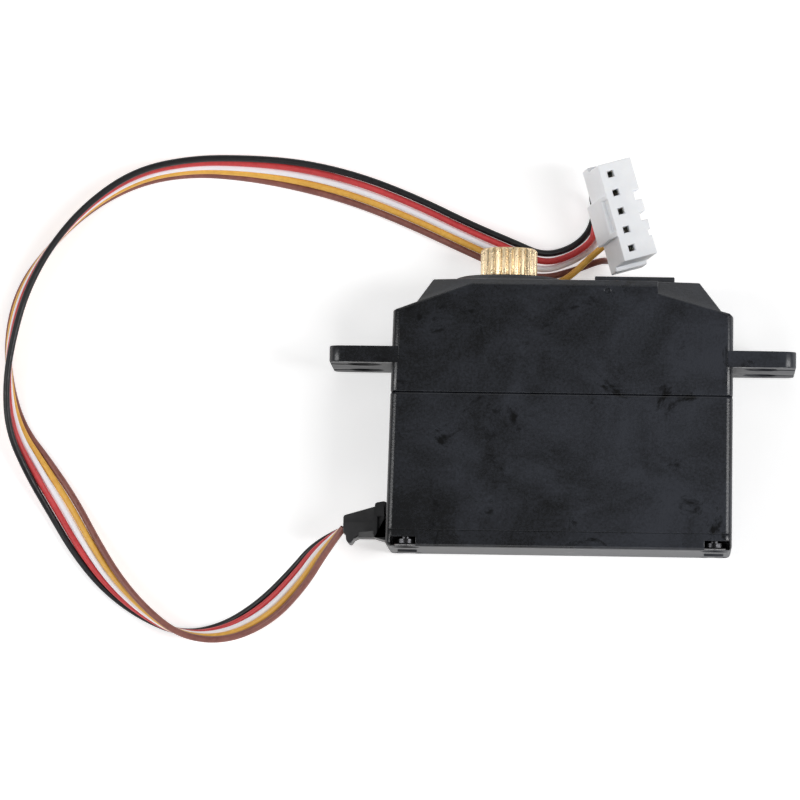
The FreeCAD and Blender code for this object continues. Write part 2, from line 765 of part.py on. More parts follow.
# the keying rib on the plug's left side, with the recess in it, and the notches in its right side
RIB_V = (-2.50, 1.95)
RIB_OUT = 0.55
RIB_SLOPE = 1.70
RECESS_V = (-1.85, 1.50)
RECESS_OUT = 0.42
RECESS_DEPTH = 1.20
# each notch: the middle along the plug, half its width and its depth
NOTCHES = ((1.20, 0.48, 0.68), (-1.07, 0.42, 0.68), (-2.90, 0.32, 0.30))


def plug_placement():
    """Local X crosses the plug, local Y runs up its long side and local Z points out of its mouth."""
    along = Vector(-math.sin(PLUG_LEAN), math.cos(PLUG_LEAN), 0)
    across_flat = Vector(math.cos(PLUG_LEAN), math.sin(PLUG_LEAN), 0)
    mouth = ALONG_Z * math.cos(PLUG_TILT) + across_flat * math.sin(PLUG_TILT)
    across = along.cross(mouth)
    turn = FreeCAD.Rotation(across, along, mouth, "ZXY")
    x, h, z = PLUG_MOUTH
    return FreeCAD.Placement(Vector(x, row_y(h), z), turn)


def plug_box(u, v, w):
    """A box in the plug's own directions, with w measured back from the mouth."""
    shape = Part.makeBox(
        u[1] - u[0], v[1] - v[0], w[1] - w[0], Vector(u[0], v[0], -w[1])
    )
    shape.Placement = plug_placement().multiply(shape.Placement)
    return shape


def pin_box(v, half, w):
    """A square bar along one pin's line, that far along the plug."""
    return plug_box((-half, half), (v - half, v + half), w)


def plug_point(u, v, w):
    return plug_placement().multVec(Vector(u, v, -w))


def pin_places():
    """Where the five pins lie along the plug, from the black wire's to the brown one's."""
    return [(2 - i) * PLUG_PITCH for i in range(5)]


def keying_rib():
    """The rib along the plug's left side, sloped towards the mouth."""
    left = PLUG_SIDES[0]
    outline = [
        (left + 0.5, 0), (left, 0), (left - RIB_OUT, -RIB_SLOPE),
        (left - RIB_OUT, -PLUG_HEIGHT), (left + 0.5, -PLUG_HEIGHT),
    ]
    corners = [Vector(u, RIB_V[0], w) for u, w in outline]
    face = Part.Face(Part.makePolygon(corners + corners[:1]))
    rib = face.extrude(Vector(0, RIB_V[1] - RIB_V[0], 0))
    rib.Placement = plug_placement().multiply(rib.Placement)
    return rib


def connector_housing():
    half, collar_half = PLUG_LENGTH / 2, COLLAR_LENGTH / 2
    front = PLUG_HEIGHT - COLLAR_HEIGHT
    body = plug_box(PLUG_SIDES, (-half, half), (0, PLUG_HEIGHT))
    collar = plug_box(COLLAR_SIDES, (-collar_half, collar_half), (front, PLUG_HEIGHT))
    solid = fuse(body, collar, keying_rib())
    left = PLUG_SIDES[0]
    solid = solid.cut(plug_box((left - RECESS_OUT, left + 0.02), RECESS_V, (-1, RECESS_DEPTH)))
    for middle, half_width, depth in NOTCHES:
        v = (middle - half_width, middle + half_width)
        solid = solid.cut(plug_box((PLUG_SIDES[1] - depth, 4), v, (-1, front - 0.6)))
    for v in pin_places():
        solid = solid.cut(pin_box(v, PIN_HOLE_HALF, (-1, 2)))
        solid = solid.cut(pin_box(v, CONTACT_BAY_HALF, (0.9, PLUG_HEIGHT + 1)))
    return solid


def connector_contacts():
    contacts = []
    for v in pin_places():
        sleeve = pin_box(v, CONTACT_HALF, (1.0, PLUG_HEIGHT - CONTACT_REAR))
        bore = pin_box(v, CONTACT_BORE_HALF, (0, PLUG_HEIGHT - CONTACT_REAR - 0.3))
        contacts.append(sleeve.cut(bore))
    return contacts


def wire_points(index):
    """The route of one wire of the ribbon: the ribbon's middle, shifted across it by its place."""
    colour = WIRES[index]
    shift = (index - 2) * WIRE_PITCH
    middles = [Vector(x, row_y(h), z) for x, h, z, _ in RIBBON_ROUTE]
    points = []
    for i, (x, h, z, roll) in enumerate(RIBBON_ROUTE):
        before, after = middles[max(i - 1, 0)], middles[min(i + 1, len(middles) - 1)]
        heading = Vector(after.x - before.x, after.y - before.y, 0).normalize()
        outward = ALONG_Z.cross(heading)
        angle = math.radians(roll)
        side = outward * math.cos(angle) + ALONG_Z * math.sin(angle)
        if i == 0:
            side = ALONG_Z
        points.append(middles[i] + side * shift)
    points += [Vector(x, row_y(h), z) for x, h, z in WIRE_ENDS[colour]]
    v = pin_places()[index]
    points.append(plug_point(0, v, PLUG_HEIGHT + TURN_BELOW[colour]))
    points.append(plug_point(0, v, PLUG_HEIGHT - CONTACT_REAR))
    return points


def make_cable():
    for index, colour in enumerate(WIRES):
        save("wire_" + colour, tube("wire_" + colour, wire_points(index), WIRE_R))
    save("connector_housing", connector_housing())
    save("connector_contacts", connector_contacts())
    save("strain_relief", strain_relief())


# ---- motor ------------------------------------------------------------------------------------------
CAN_LOW = 3.00
CAN_WALL = 0.50
CAN_BOSS_TOP = 16.60
CAP_LOW = 2.60
SHAFT_R = 0.50
SHAFT_LOW = 3.10
CORE = (6.00, 12.00)
CORE_R = 4.30
POLES = 3


def motor_can():
    can = post(MOTOR_X, (CAN_LOW, FLOOR_LOW), MOTOR_R)
    can = round_edges(
        can, 0.6, lambda e: e.CenterOfMass.y > row_y(FLOOR_LOW - 0.1)
        and e.Curve.TypeId == "Part::GeomCircle",
    )
    can = can.fuse(post(MOTOR_X, (FLOOR_LOW - 1, CAN_BOSS_TOP), MOTOR_BOSS_R))
    can = can.cut(post(MOTOR_X, (CAN_LOW - 1, FLOOR_LOW - CAN_WALL), MOTOR_R - CAN_WALL))
    return can.cut(post(MOTOR_X, (10, 20), 1.60)).removeSplitter()


def motor_end_cap():
    cap = post(MOTOR_X, (CAP_LOW, 4.30), MOTOR_R - CAN_WALL - 0.01)
    cap = cap.fuse(post(MOTOR_X, (CAP_LOW - 0.30, CAP_LOW + 0.1), 1.9))
    cap = cap.cut(post(MOTOR_X, (3.9, 6), MOTOR_R - CAN_WALL - 0.7))
    cap = cap.cut(post(MOTOR_X, (2.8, 6), 1.20))
    for z in (MID_Z - 3.2, MID_Z + 3.2):
        cap = cap.cut(box((MOTOR_X - 0.66, MOTOR_X + 0.66), (0, 6), (z - 0.16, z + 0.16)))
    return cap.removeSplitter()


def motor_bearings():
    rear = ring(MOTOR_X, (2.85, 3.80), 1.18, SHAFT_R + 0.02)
    front = ring(MOTOR_X, (14.95, CAN_BOSS_TOP - 0.05), 1.58, SHAFT_R + 0.02)
    return [rear, front]


def motor_magnets():
    return [
        sector(MOTOR_X, (5.2, 13.8), MOTOR_R - CAN_WALL - 0.02, CORE_R + 0.25, middle, 62)
        for middle in (0, 180)
    ]


BRUSH_H = (4.40, 5.00)


def motor_terminals():
    """Two solder tabs through the end cap, each with its brush leaf on the commutator."""
    tabs = []
    for sign in (-1, 1):
        z = MID_Z + sign * 3.2
        tab_plate = box((MOTOR_X - 0.6, MOTOR_X + 0.6), (1.30, BRUSH_H[1]), (z - 0.12, z + 0.12))
        near, far = sorted((MID_Z + sign * 1.32, z))
        leaf = box((MOTOR_X - 0.25, MOTOR_X + 0.25), BRUSH_H, (near, far))
        tabs.append(fuse(tab_plate, leaf))
    return tabs


def rotor_core():
    """A three-pole laminated core with its hub and pole shoes."""
    hub = post(MOTOR_X, CORE, 1.5)
    shoes = ring(MOTOR_X, CORE, CORE_R, CORE_R - 0.7)
    for pole in range(POLES):
        gap = sector(MOTOR_X, (CORE[0] - 1, CORE[1] + 1), CORE_R + 1, CORE_R - 1.2,
                     60 + 360 / POLES * pole, 7)
        shoes = shoes.cut(gap)
        arm = box((MOTOR_X, MOTOR_X + CORE_R - 0.4), CORE, (MID_Z - 0.6, MID_Z + 0.6))
        arm.rotate(Vector(MOTOR_X, 0, MID_Z), ALONG_Y, 360 / POLES * pole)
        hub = hub.fuse(arm)
    return hub.fuse(shoes).removeSplitter().cut(post(MOTOR_X, (0, 20), SHAFT_R))


def rotor_windings():
    """A coil round each arm of the core."""
    coils = []
    for pole in range(POLES):
        outer = box((MOTOR_X + 1.75, MOTOR_X + CORE_R - 1.05), (CORE[0] - 0.7, CORE[1] + 0.7),
                    (MID_Z - 1.25, MID_Z + 1.25))
        outer = round_edges(outer, 0.5, lambda e: runs_along(e, ALONG_X))
        inner = box((MOTOR_X + 1, MOTOR_X + CORE_R), (CORE[0] - 0.01, CORE[1] + 0.01),
                    (MID_Z - 0.61, MID_Z + 0.61))
        coil = outer.cut(inner)
        coil.rotate(Vector(MOTOR_X, 0, MID_Z), ALONG_Y, 360 / POLES * pole)
        coils.append(coil)
    return coils


def commutator():
    drum = ring(MOTOR_X, (4.20, 5.25), 1.30, SHAFT_R)
    for pole in range(POLES):
        slot = box((MOTOR_X + 1.05, MOTOR_X + 2), (4, 6), (MID_Z - 0.08, MID_Z + 0.08))
        slot.rotate(Vector(MOTOR_X, 0, MID_Z), ALONG_Y, 60 + 360 / POLES * pole)
        drum = drum.cut(slot)
    return drum


def make_motor():
    save("motor_can", motor_can())
    save("motor_end_cap", motor_end_cap())
    save("motor_bearings", motor_bearings())
    save("motor_magnets", motor_magnets())
    save("motor_terminals", motor_terminals())
    save("rotor_shaft", post(MOTOR_X, (SHAFT_LOW, LAYER_1[1] + 0.1), SHAFT_R))
    save("rotor_core", rotor_core())
    save("rotor_windings", rotor_windings())
    save("commutator", commutator())
    save("motor_pinion", motor_pinion())


# ---- potentiometer ----------------------------------------------------------------------------------
POT_R = 5.00
POT_LOW = 11.00
POT_INNER_R = 4.40
BOARD_TOP = 11.60
WIPER = (12.00, 12.60)
POT_SHAFT_LOW = 11.80


def pot_housing():
    body = post(OUTPUT_X, (POT_LOW, FLOOR_LOW), POT_R)
    body = body.fuse(post(OUTPUT_X, (FLOOR_LOW - 0.1, 16.9), POT_NECK_R))
    body = body.cut(post(OUTPUT_X, (POT_LOW - 1, 14.2), POT_INNER_R))
    return body.cut(post(OUTPUT_X, (10, 20), POT_SHAFT_R + 0.03)).removeSplitter()


def pot_shaft():
    """The shaft, round through the train and with a flat where it keys into the output gear."""
    round_part = post(OUTPUT_X, (POT_SHAFT_LOW, LAYER_5[0] - 0.1), POT_SHAFT_R)
    keyed = d_shaft((LAYER_5[0] - 0.2, KEY_TOP - 0.1), POT_SHAFT_R, KEY_FLAT)
    return fuse(round_part, keyed)


def pot_wiper():
    disc = ring(OUTPUT_X, WIPER, 3.60, POT_SHAFT_R)
    finger = box((OUTPUT_X + 2.2, OUTPUT_X + 3.2), (BOARD_TOP + 0.08, WIPER[0] + 0.1),
                 (MID_Z - 0.3, MID_Z + 0.3))
    return fuse(disc, finger)


def pot_board():
    board = post(OUTPUT_X, (POT_LOW, BOARD_TOP), POT_INNER_R - 0.01)
    for x in pot_terminal_places():
        board = board.cut(box((x - 0.41, x + 0.41), (0, 20), (10.28, 10.62)))
    return board


def pot_terminal_places():
    return [OUTPUT_X + step for step in (-2.0, 0.0, 2.0)]


def pot_terminals():
    return [
        box((x - 0.4, x + 0.4), (9.0, BOARD_TOP), (10.3, 10.6))
        for x in pot_terminal_places()
    ]


def make_potentiometer():
    save("pot_housing", pot_housing())
    save("pot_shaft", pot_shaft())
    save("pot_wiper", pot_wiper())
    save("pot_board", pot_board())
    save("pot_terminals", pot_terminals())


# ---- leads inside the case --------------------------------------------------------------------------
def inner_leads():
    """Five leads from the strain relief: two to the motor's tabs, three to the potentiometer's."""
    first, second, third = pot_terminal_places()
    low = LEAD_H
    ends = [
        [(-13.5, low, 6.00), (-6.0, 1.75, 4.9), (3.0, 1.75, 4.3), (MOTOR_X - 0.6, 1.75, 4.3)],
        [(-13.0, low, 6.75), (-6.0, 1.75, 8.0), (3.0, 1.75, 10.7), (MOTOR_X - 0.6, 1.75, 10.7)],
        [(-14.0, low, 7.50), (-11.2, 3.6, 8.2), (-8.6, 6.4, 9.5), (first, 9.1, 10.45)],
        [(-13.2, low, 8.25), (-9.6, 3.0, 9.6), (-6.7, 5.8, 10.3), (second, 9.1, 10.45)],
        [(-13.4, low, 9.05), (-8.0, 2.4, 11.3), (-4.4, 5.0, 11.0), (third, 9.1, 10.45)],
    ]
    leads = []
    for index, tail in enumerate(ends):
        z = MID_Z + (index - 2) * WIRE_PITCH
        route = [(RELIEF_END_X, LEAD_H, z)] + tail
        points = [(x, row_y(h), level) for x, h, level in route]
        leads.append(tube("inner lead %d" % (index + 1), points, WIRE_R))
    return leads


# ---- everything -------------------------------------------------------------------------------------
save("upper_case", upper_case())
save("lower_case", lower_case())
save("bottom_cover", bottom_cover())
save("case_screws", case_screws())
save("output_bearing", output_bearing())
save("output_gear", output_gear())
make_gears()
save("left_gear_pin", gear_pin(LEFT_PIN_X))
save("right_gear_pin", gear_pin(RIGHT_PIN_X))
make_motor()
make_potentiometer()
save("inner_leads", inner_leads())
make_cable()
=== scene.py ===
"""A hobby servo motor on its broad side, with its five-wire ribbon cable and plug."""
import math

import bmesh
import bpy
from mathutils import Matrix, Vector


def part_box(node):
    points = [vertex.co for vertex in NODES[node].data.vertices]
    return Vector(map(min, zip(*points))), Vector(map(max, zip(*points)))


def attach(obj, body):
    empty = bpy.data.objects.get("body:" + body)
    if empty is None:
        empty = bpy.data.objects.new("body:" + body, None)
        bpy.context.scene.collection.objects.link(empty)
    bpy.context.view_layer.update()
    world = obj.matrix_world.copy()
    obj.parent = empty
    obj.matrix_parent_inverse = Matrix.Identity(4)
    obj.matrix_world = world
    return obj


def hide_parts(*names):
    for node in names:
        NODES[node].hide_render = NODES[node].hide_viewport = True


MM = 0.001
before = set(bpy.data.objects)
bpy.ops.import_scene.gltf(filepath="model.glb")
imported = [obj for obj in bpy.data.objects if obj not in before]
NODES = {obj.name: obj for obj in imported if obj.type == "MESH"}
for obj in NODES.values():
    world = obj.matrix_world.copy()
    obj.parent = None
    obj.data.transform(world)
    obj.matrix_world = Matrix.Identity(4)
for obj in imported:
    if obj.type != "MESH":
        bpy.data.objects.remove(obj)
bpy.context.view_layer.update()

# ---- places in the frame ----------------------------------------------------------------------------
# in metres
CASE_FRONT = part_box("upper_case")[1].z
FEET_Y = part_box("bottom_cover")[0].y
OUTPUT_AXIS_X = -5.80 * MM
OUTPUT_AXIS_Z = CASE_FRONT / 2
# from the output axis, how far the painted shade in the tooth grooves is full and where it has thinned to
# nothing
GROOVE_SHADE_FULL_R = 2.62 * MM
GROOVE_SHADE_GONE_R = 2.88 * MM
# how far the feet stand out below the case's bottom plane, in mm
FOOT_H = 0.25


def at(x, h, z):
    """A point of the frame from x, height above the case's bottom plane and z, all in mm."""
    return Vector((x * MM, FEET_Y + (h + FOOT_H) * MM, z * MM))


# ---- camera -----------------------------------------------------------------------------------------
# where the camera stands and what it looks at, as x, h, z in mm
CAMERA_ABOVE = (8.91, -42.80, 847.9)
CAMERA_AIM = (-16.70, 15.11, 15.0)
CAMERA_ROLL = math.radians(0.94)
CAMERA_LENS = 364.3


def add_camera():
    """A long lens almost straight above the broad side, a little below and right of the middle."""
    place, aim = at(*CAMERA_ABOVE), at(*CAMERA_AIM)
    back = (place - aim).normalized()
    up = Vector((-math.sin(CAMERA_ROLL), math.cos(CAMERA_ROLL), 0))
    right = up.cross(back).normalized()
    up = back.cross(right)
    data = bpy.data.cameras.new("camera")
    data.lens = CAMERA_LENS
    data.sensor_width = 36.0
    data.clip_start = 0.01
    data.clip_end = 10.0
    camera = bpy.data.objects.new("camera", data)
    bpy.context.collection.objects.link(camera)
    camera.matrix_world = Matrix.Translation(place) @ Matrix((right, up, back)).transposed().to_4x4()
    bpy.context.scene.camera = camera


add_camera()


# ---- cable ------------------------------------------------------------------------------------------
# in mm, but the cable's length in metres
WIRES = ("black", "red", "white", "yellow", "brown")
WIRE_PITCH = 0.75
WIRE_DIAMETER = 0.70

# The middle of the ribbon, from the strain relief to where the wires part: x, h, z in mm, and the angle
# of the line from the black to the brown wire, turned from the outer side of the loop (0) up (90).
RIBBON_ROUTE = [
    (-22.55, 2.15, 7.50, 90),
    (-24.90, 0.30, 6.95, 58),
    (-27.40, -3.10, 5.20, 42),
    (-30.80, -6.55, 3.40, 36),
    (-35.10, -8.80, 2.30, 54),
    (-39.60, -9.00, 2.02, 84),
    (-43.60, -6.75, 2.00, 110),
    (-47.10, -3.60, 1.75, 136),
    (-49.90, 0.20, 1.30, 160),
    (-52.30, 4.30, 0.90, 178),
    (-54.90, 8.30, 1.35, 208),
    (-57.40, 12.40, 1.90, 240),
    (-58.30, 17.20, 2.05, 265),
    (-58.15, 22.20, 2.05, 288),
    (-56.85, 27.30, 2.05, 292),
    (-53.90, 32.00, 2.05, 276),
    (-49.90, 36.20, 2.05, 264),
    (-45.00, 39.20, 2.05, 250),
    (-39.40, 40.35, 2.00, 244),
    (-33.60, 40.25, 1.80, 232),
    (-27.80, 39.60, 1.45, 212),
    (-22.00, 38.20, 1.20, 202),
    (-16.20, 36.00, 1.20, 200),
    (-10.40, 33.30, 1.35, 206),
    (-5.80, 31.35, 1.40, 198),
]
# each wire's own points between the ribbon's end and the turn below the connector
WIRE_ENDS = {
    "black": [(-2.33, 31.47, 1.20), (0.43, 32.20, 0.80), (2.40, 33.87, 0.56), (3.05, 36.20, 0.56)],
    "red": [(-2.33, 30.62, 1.35), (0.36, 31.31, 1.60), (2.82, 32.95, 1.85), (3.08, 34.70, 1.95)],
    "white": [(-2.52, 29.75, 1.00), (0.85, 30.93, 0.70), (3.26, 32.71, 0.65)],
    "yellow": [(-2.40, 28.20, 2.00), (0.05, 28.72, 2.20), (2.98, 31.60, 2.25)],
    "brown": [(-2.45, 29.03, 0.60), (1.12, 30.05, 0.56), (3.75, 31.15, 0.56)],
}
# how far below the connector each wire turns up into it
TURN_BELOW = {"black": 3.40, "red": 2.30, "white": 3.50, "yellow": 2.00, "brown": 2.90}

# the plug's lean in the plane of the floor, its tilt out of it and the middle of its mouth: x, h, z
PLUG_LEAN = math.radians(16.6)
PLUG_TILT = math.radians(12.3)
PLUG_MOUTH = (5.84, 35.32, 12.0)
PLUG_PITCH = 2.00
PLUG_HEIGHT = 7.40
CONTACT_REAR = 2.60


def plug_axes():
    """The plug's across, along and mouth directions."""
    along = Vector((-math.sin(PLUG_LEAN), math.cos(PLUG_LEAN), 0))
    level = Vector((math.cos(PLUG_LEAN), math.sin(PLUG_LEAN), 0))
    mouth = Vector((0, 0, math.cos(PLUG_TILT))) + level * math.sin(PLUG_TILT)
    return along.cross(mouth), along, mouth


def plug_point(u, v, w):
    """A point of the plug: u across it, v up its long side, w back from its mouth, in mm."""
    across, along, mouth = plug_axes()
    return at(*PLUG_MOUTH) + (across * u + along * v - mouth * w) * MM


def wire_route(index):
    """One wire's points: the ribbon's middle shifted across it, then its own way into the plug."""
    colour = WIRES[index]
    shift = (index - 2) * WIRE_PITCH * MM
    middles = [at(x, h, z) for x, h, z, _ in RIBBON_ROUTE]
    route = []
    for i, (_, _, _, roll) in enumerate(RIBBON_ROUTE):
        before, after = middles[max(i - 1, 0)], middles[min(i + 1, len(middles) - 1)]
        heading = Vector((after.x - before.x, after.y - before.y, 0)).normalized()
        outward = Vector((0, 0, 1)).cross(heading)
        angle = math.radians(roll)
        side = outward * math.cos(angle) + Vector((0, 0, 1)) * math.sin(angle)
        if i == 0:
            side = Vector((0, 0, 1))
        route.append(middles[i] + side * shift)
    route += [at(*point) for point in WIRE_ENDS[colour]]
    v = (2 - index) * PLUG_PITCH
    route.append(plug_point(0, v, PLUG_HEIGHT + TURN_BELOW[colour]))
    route.append(plug_point(0, v, PLUG_HEIGHT - CONTACT_REAR))
    return route


def add_wire(index):
    """One round wire of the cable, as a smooth curve along its route."""
    colour = WIRES[index]
    curve = bpy.data.curves.new("insulation_" + colour, "CURVE")
    curve.dimensions = "3D"
    curve.resolution_u = 10
    curve.bevel_depth = 1.0
    curve.bevel_resolution = 5
    curve.use_fill_caps = True
    route = wire_route(index)
    spline = curve.splines.new("NURBS")
    spline.points.add(len(route) - 1)
    for point, place in zip(spline.points, route):
        point.co = (*place, 1)
        point.radius = WIRE_DIAMETER / 2 * MM
    spline.order_u = 3
    spline.use_endpoint_u = True
    wire = bpy.data.objects.new("insulation_" + colour, curve)
    bpy.context.collection.objects.link(wire)
    wire_node = "wire_" + colour
    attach(wire, "housing")
    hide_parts(wire_node)
    return wire


wires = {colour: add_wire(index) for index, colour in enumerate(WIRES)}


# ---- material tools ---------------------------------------------------------------------------------
# the sockets of a mix node that carry colours
MIX_LOW, MIX_HIGH, MIX_RESULT = 6, 7, 2


class Surface:
    """A material's node tree, with short calls for the patterns that the finishes are built from."""

    def __init__(self, name, roughness, metallic=0.0):
        self.material = bpy.data.materials.new(name)
        self.material.use_nodes = True
        self.tree = self.material.node_tree
        self.shader = self.tree.nodes["Principled BSDF"]
        self.shader.inputs["Roughness"].default_value = roughness
        self.shader.inputs["Metallic"].default_value = metallic
        self.place = self.node("ShaderNodeTexCoord").outputs["Object"]
        self.bumps = None

    def node(self, kind, **settings):
        """A new node with its settings."""
        made = self.tree.nodes.new(kind)
        for key, value in settings.items():
            setattr(made, key, value)
        return made

    def link(self, output, target):
        self.tree.links.new(output, target)

    def axes(self):
        """The outputs X, Y and Z of the object's own coordinates, in metres."""
        split = self.node("ShaderNodeSeparateXYZ")
        self.link(self.place, split.inputs["Vector"])
        return split.outputs

    def stretched(self, x, y, z):
        """The object's own coordinates, scaled per axis."""
        mapping = self.node("ShaderNodeMapping")
        mapping.inputs["Scale"].default_value = (x, y, z)
        self.link(self.place, mapping.inputs["Vector"])
        return mapping.outputs["Vector"]

    def noise(self, size, detail=4.0, roughness=0.6, distortion=0.0, vector=None):
        """Cloudy noise whose patches are about size metres across."""
        made = self.node("ShaderNodeTexNoise")
        made.inputs["Scale"].default_value = 1 / size
        made.inputs["Detail"].default_value = detail
        made.inputs["Roughness"].default_value = roughness
        made.inputs["Distortion"].default_value = distortion
        self.link(vector or self.place, made.inputs["Vector"])
        return made.outputs["Fac"]

    def fade(self, value, low, high, start=0.0, end=1.0):
        """value mapped from low..high to start..end, clamped."""
        made = self.node("ShaderNodeMapRange")
        made.inputs["From Min"].default_value = low
        made.inputs["From Max"].default_value = high
        made.inputs["To Min"].default_value = start
        made.inputs["To Max"].default_value = end
        self.link(value, made.inputs["Value"])
        return made.outputs["Result"]

    def math(self, operation, a, b):
        """A sum, product or other operation on two values, each a number or an output."""
        made = self.node("ShaderNodeMath", operation=operation)
        for socket, value in zip(made.inputs, (a, b)):
            if isinstance(value, float):
                socket.default_value = value
            else:
                self.link(value, socket)
        return made.outputs["Value"]

    def blend(self, amount, low, high):
        """A colour between two, each a triple or an output."""
        made = self.node("ShaderNodeMix", data_type="RGBA")
        self.link(amount, made.inputs["Factor"])
        for socket, value in ((made.inputs[MIX_LOW], low), (made.inputs[MIX_HIGH], high)):
            if isinstance(value, tuple):
                socket.default_value = (*value, 1)
            else:
                self.link(value, socket)
        return made.outputs[MIX_RESULT]

    def colour(self, value):
        self.link(value, self.shader.inputs["Base Color"])

    def rough(self, value):
        self.link(value, self.shader.inputs["Roughness"])

    def bump(self, height, distance):
        """Relief of that depth in metres, laid over any earlier relief."""
        made = self.node("ShaderNodeBump")
        made.inputs["Distance"].default_value = distance
        self.link(height, made.inputs["Height"])
        if self.bumps is not None:
            self.link(self.bumps, made.inputs["Normal"])
        self.bumps = made.outputs["Normal"]
        self.link(self.bumps, self.shader.inputs["Normal"])


# ---- materials --------------------------------------------------------------------------------------
# the grain that a spark-eroded mould leaves, in metres
GRAIN_SIZE = 0.00022


def moulded_plastic(name, dark, light, roughness, patch):
    """Moulded plastic: cloudy handling marks, a fine grain and slight flow waviness."""
    s = Surface(name, roughness)
    cloud = s.noise(patch, detail=7.0, roughness=0.62, distortion=0.4)
    dust = s.noise(GRAIN_SIZE * 6, detail=3.0)
    s.colour(s.blend(s.fade(cloud, 0.36, 0.68), dark, light))
    s.rough(s.fade(s.math("ADD", cloud, dust), 0.75, 1.30, roughness - 0.10, roughness + 0.14))
    s.bump(s.noise(GRAIN_SIZE, detail=2.0), 0.000012)
    s.bump(s.noise(patch * 1.5, detail=2.0), 0.000030)
    return s.material


# sizes of the patterns on the case, in metres, and where along it the painted light falloff starts and is
# full
CLOUD_SIZE = 0.0065
SPECKLE_SIZE = 0.00030
SMUDGE_SIZE = 0.0052
WAVE_SIZE = 0.0090
PAINTED_LIGHT_FROM, PAINTED_LIGHT_TO = -0.020, 0.014
PAINTED_LIGHT_STRENGTH = 0.12
# how much coarser the side walls are than the polished front, and where that begins and is full
WALL_COARSENESS = 0.22
WALL_FROM, WALL_TO = CASE_FRONT - 0.0001, CASE_FRONT - 0.0007


def handled_case_with_painted_light(name, dark, light, smudge, roughness):
    """Black case plastic: speckle, painted light that darkens it towards one end and lightens it towards
    the other, darker smudges and coarser side walls.
    """
    s = Surface(name, roughness)
    axes = s.axes()
    # painted light: the case colour is darker towards its left end and lighter towards its right
    painted_light = s.fade(axes["X"], PAINTED_LIGHT_FROM, PAINTED_LIGHT_TO, -PAINTED_LIGHT_STRENGTH, PAINTED_LIGHT_STRENGTH)
    cloud = s.noise(CLOUD_SIZE, detail=9.0, roughness=0.66, distortion=0.5)
    speckle = s.noise(SPECKLE_SIZE, detail=4.0, roughness=0.9)
    tone = s.math("ADD", s.math("ADD", painted_light, cloud), s.math("MULTIPLY", speckle, 0.9))
    handled_look_with_painted_light = s.blend(s.fade(tone, 0.76, 1.14), dark, light)
    mark = s.fade(s.noise(SMUDGE_SIZE, detail=7.0, roughness=0.7, distortion=0.6), 0.59, 0.66)
    s.colour(s.blend(mark, handled_look_with_painted_light, smudge))
    polish = s.fade(s.math("SUBTRACT", tone, mark), 0.0, 1.2, roughness - 0.06, roughness + 0.08)
    walls = s.fade(axes["Z"], WALL_TO, WALL_FROM, WALL_COARSENESS, 0.0)
    s.rough(s.math("ADD", polish, walls))
    s.bump(s.noise(GRAIN_SIZE, detail=2.0), 0.000012)
    s.bump(s.noise(WAVE_SIZE, detail=2.0), 0.000018)
    return s.material


def brass_with_painted_groove_shade(name, bright, groove_shade, inner_radius, outer_radius):
    """Machined brass: painted shade in the roots of the teeth, bright tips, fine turning marks."""
    s = Surface(name, 0.30, metallic=1.0)
    axes = s.axes()
    dx = s.math("SUBTRACT", axes["X"], OUTPUT_AXIS_X)
    dz = s.math("SUBTRACT", axes["Z"], OUTPUT_AXIS_Z)
    radius = s.math("POWER", s.math("ADD", s.math("MULTIPLY", dx, dx), s.math("MULTIPLY", dz, dz)), 0.5)
    depth = s.fade(radius, inner_radius, outer_radius)
    stain = s.noise(0.0011, detail=5.0)
    # painted shade: the brass colour darkens towards the roots of the teeth
    s.colour(s.blend(s.math("MULTIPLY", depth, s.fade(stain, 0.2, 0.6, 0.75, 1.0)), groove_shade, bright))
    s.rough(s.fade(s.noise(0.0004, detail=3.0), 0.3, 0.7, 0.20, 0.42))
    s.bump(s.noise(0.00012, vector=s.stretched(1, 12, 1)), 0.000010)
    return s.material


def metal(name, base, tarnish, roughness, brushed=(1, 1, 1)):
    """Bare metal with faint tarnish and marks drawn out along one axis by its scales."""
    s = Surface(name, roughness, metallic=1.0)
    stain = s.noise(0.0020, detail=5.0)
    marks = s.noise(0.00025, detail=3.0, vector=s.stretched(*brushed))
    s.colour(s.blend(s.fade(stain, 0.35, 0.75), base, tarnish))
    s.rough(s.fade(marks, 0.3, 0.7, roughness - 0.08, roughness + 0.12))
    s.bump(marks, 0.000006)
    return s.material


def nylon(name, tint):
    """Slightly translucent white nylon with soft moulding haze."""
    s = Surface(name, 0.38)
    s.shader.inputs["Subsurface Weight"].default_value = 0.35
    s.shader.inputs["Subsurface Radius"].default_value = (0.0012, 0.0011, 0.0010)
    s.shader.inputs["Subsurface Scale"].default_value = 1.0
    haze = s.noise(0.0018, detail=4.0)
    s.colour(s.blend(s.fade(haze, 0.3, 0.7), tuple(c * 0.95 for c in tint), tint))
    s.rough(s.fade(haze, 0.3, 0.7, 0.30, 0.48))
    s.bump(s.noise(0.00030, detail=2.0), 0.000010)
    return s.material


def insulation(name, tint, deep):
    """Soft vinyl wire insulation: slow colour drift along the wire and small scuffs."""
    s = Surface(name, 0.42)
    drift = s.noise(0.0035, detail=4.0)
    scuff = s.noise(0.00045, detail=3.0)
    s.colour(s.blend(s.fade(s.math("ADD", drift, scuff), 0.7, 1.3), deep, tint))
    s.rough(s.fade(scuff, 0.3, 0.7, 0.34, 0.56))
    s.bump(scuff, 0.000008)
    return s.material


